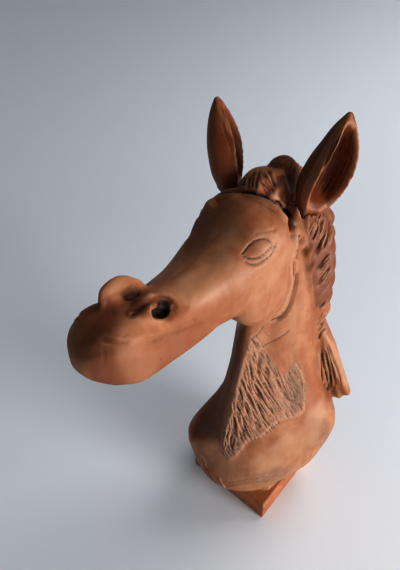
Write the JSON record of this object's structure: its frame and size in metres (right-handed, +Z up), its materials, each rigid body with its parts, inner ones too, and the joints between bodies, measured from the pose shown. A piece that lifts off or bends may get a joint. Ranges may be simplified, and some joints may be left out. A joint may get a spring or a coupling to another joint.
{
  "type": "carved wooden horse head",
  "caption": "Hand-carved wooden horse head and neck with upright glued ears and a falling mane, on a small square base plate.",
  "frame": {"origin": "centre of the base plate's underside", "axes": "+Z up through the neck to the ears, the muzzle points to -Y, the horse's own left side is +X"},
  "size_m": [0.1317, 0.2829, 0.4167],
  "materials": {
    "carved_wood": "waxed",
    "ear_wood": "waxed",
    "base_wood": "waxed"
  },
  "bodies": {
    "root": {"square_base": "base_wood", "horse_head_bust": "carved_wood", "left_ear": "ear_wood", "right_ear": "ear_wood"}
  },
  "joints": []
}
